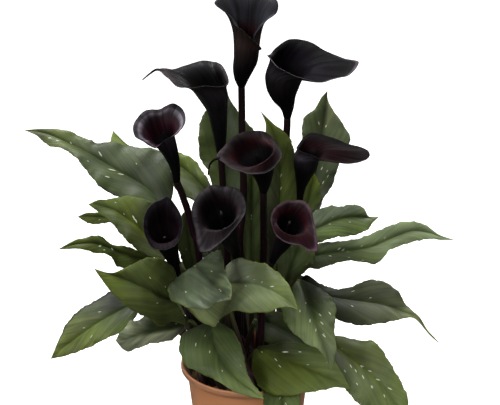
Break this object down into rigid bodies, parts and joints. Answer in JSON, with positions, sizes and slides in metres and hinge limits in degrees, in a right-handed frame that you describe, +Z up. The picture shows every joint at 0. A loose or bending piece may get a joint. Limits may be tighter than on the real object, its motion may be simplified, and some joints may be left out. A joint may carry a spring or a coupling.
{
  "type": "potted flowering plant",
  "caption": "Potted calla lily with near-black funnel flowers on long dark stems above a dense clump of pointed speckled green leaves, in a round tapered pot.",
  "frame": {"origin": "centre of the pot's flat underside", "axes": "+Z up along the pot's axis, +X to the right seen from the front, -Y towards the viewer of the picture"},
  "size_m": [0.5079, 0.3125, 0.5708],
  "materials": {
    "leaf": "satin living leaf, green with pale flecks",
    "stem": "smooth dark maroon-black flower stalk",
    "spathe": "velvety near-black sheet with a soft sheen, deep maroon in the throat",
    "spadix": "fine matt beads, dark brown",
    "pot": "plain terracotta-coloured moulded plastic, smooth and slightly satin",
    "soil": "rough damp potting soil"
  },
  "bodies": {
    "root": {"leaf_01": "leaf", "leaf_02": "leaf", "leaf_03": "leaf", "leaf_04": "leaf", "leaf_05": "leaf", "leaf_06": "leaf", "leaf_07": "leaf", "leaf_08": "leaf", "leaf_09": "leaf", "leaf_10": "leaf", "leaf_11": "leaf", "leaf_12": "leaf", "leaf_13": "leaf", "leaf_14": "leaf", "leaf_15": "leaf", "leaf_16": "leaf", "leaf_17": "leaf", "leaf_18": "leaf", "leaf_19": "leaf", "leaf_20": "leaf", "leaf_21": "leaf", "leaf_22": "leaf", "leaf_23": "leaf", "leaf_24": "leaf", "leaf_25": "leaf", "leaf_26": "leaf", "leaf_27": "leaf", "leaf_28": "leaf", "leaf_29": "leaf", "leaf_30": "leaf", "leaf_31": "leaf", "flower_1_stem": "stem", "flower_1_spathe": "spathe", "flower_1_spadix": "spadix", "flower_2_stem": "stem", "flower_2_spathe": "spathe", "flower_2_spadix": "spadix", "flower_3_stem": "stem", "flower_3_spathe": "spathe", "flower_3_spadix": "spadix", "flower_4_stem": "stem", "flower_4_spathe": "spathe", "flower_4_spadix": "spadix", "flower_5_stem": "stem", "flower_5_spathe": "spathe", "flower_5_spadix": "spadix", "flower_6_stem": "stem", "flower_6_spathe": "spathe", "flower_6_spadix": "spadix", "flower_7_stem": "stem", "flower_7_spathe": "spathe", "flower_7_spadix": "spadix", "flower_8_stem": "stem", "flower_8_spathe": "spathe", "flower_8_spadix": "spadix", "flower_9_stem": "stem", "flower_9_spathe": "spathe", "flower_9_spadix": "spadix", "pot": "pot", "soil": "soil"}
  },
  "joints": []
}
